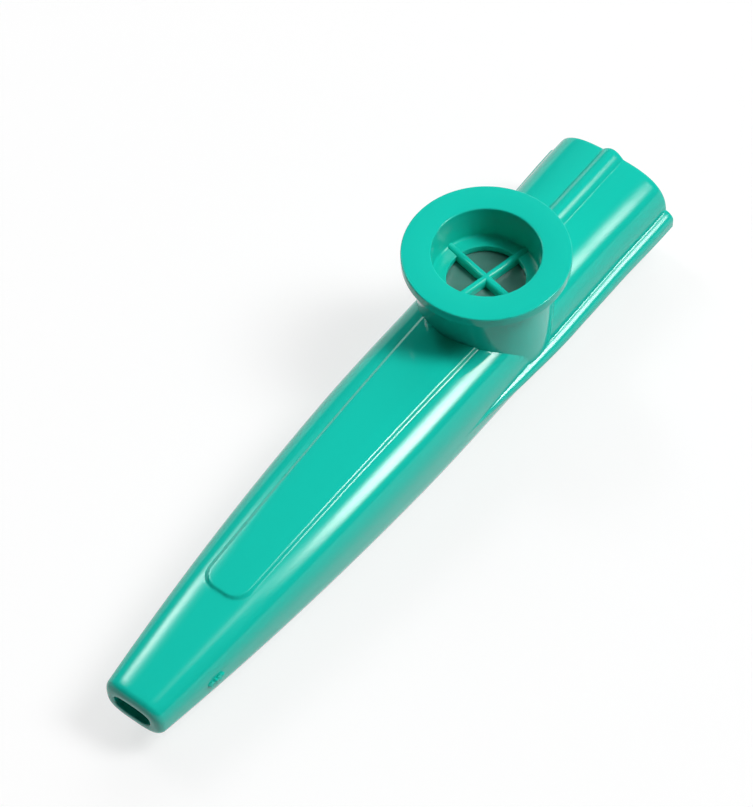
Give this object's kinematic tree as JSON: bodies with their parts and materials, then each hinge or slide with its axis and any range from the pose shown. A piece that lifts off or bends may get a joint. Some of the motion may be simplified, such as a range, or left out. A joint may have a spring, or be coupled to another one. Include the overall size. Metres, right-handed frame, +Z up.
{
  "type": "kazoo",
  "caption": "Slim moulded kazoo with a small mouth hole, an open bell, and a round turret whose flanged cap with a cross guard lifts off over a buzzing membrane.",
  "frame": {"origin": "centre of the bounding box in X and Y, on the plane that the belly rests on", "axes": "+X along the body from the mouth to the open bell, +Y across it, +Z up along the turret's axis"},
  "size_m": [0.12, 0.026, 0.0259],
  "materials": {
    "body_plastic": "glossy moulded plastic, teal green",
    "cap_plastic": "glossy moulded plastic, teal green",
    "ring_plastic": "matt white card-like plastic",
    "film": "thin translucent film"
  },
  "bodies": {
    "kazoo_body": {"body": "body_plastic"},
    "cap": {"turret_cap": "cap_plastic"},
    "membrane": {"membrane_ring": "ring_plastic", "membrane_film": "film"}
  },
  "joints": [
    {"name": "cap_lift", "type": "slide", "parent": "kazoo_body", "child": "cap", "axis": [0, 0, 1], "range_m": [0, 0.03]},
    {"name": "membrane_lift", "type": "slide", "parent": "kazoo_body", "child": "membrane", "axis": [0, 0, 1], "range_m": [0, 0.015]}
  ],
  "couplings": [
    {"joint": "membrane_lift", "follows": "cap_lift", "ratio": 0.5}
  ]
}
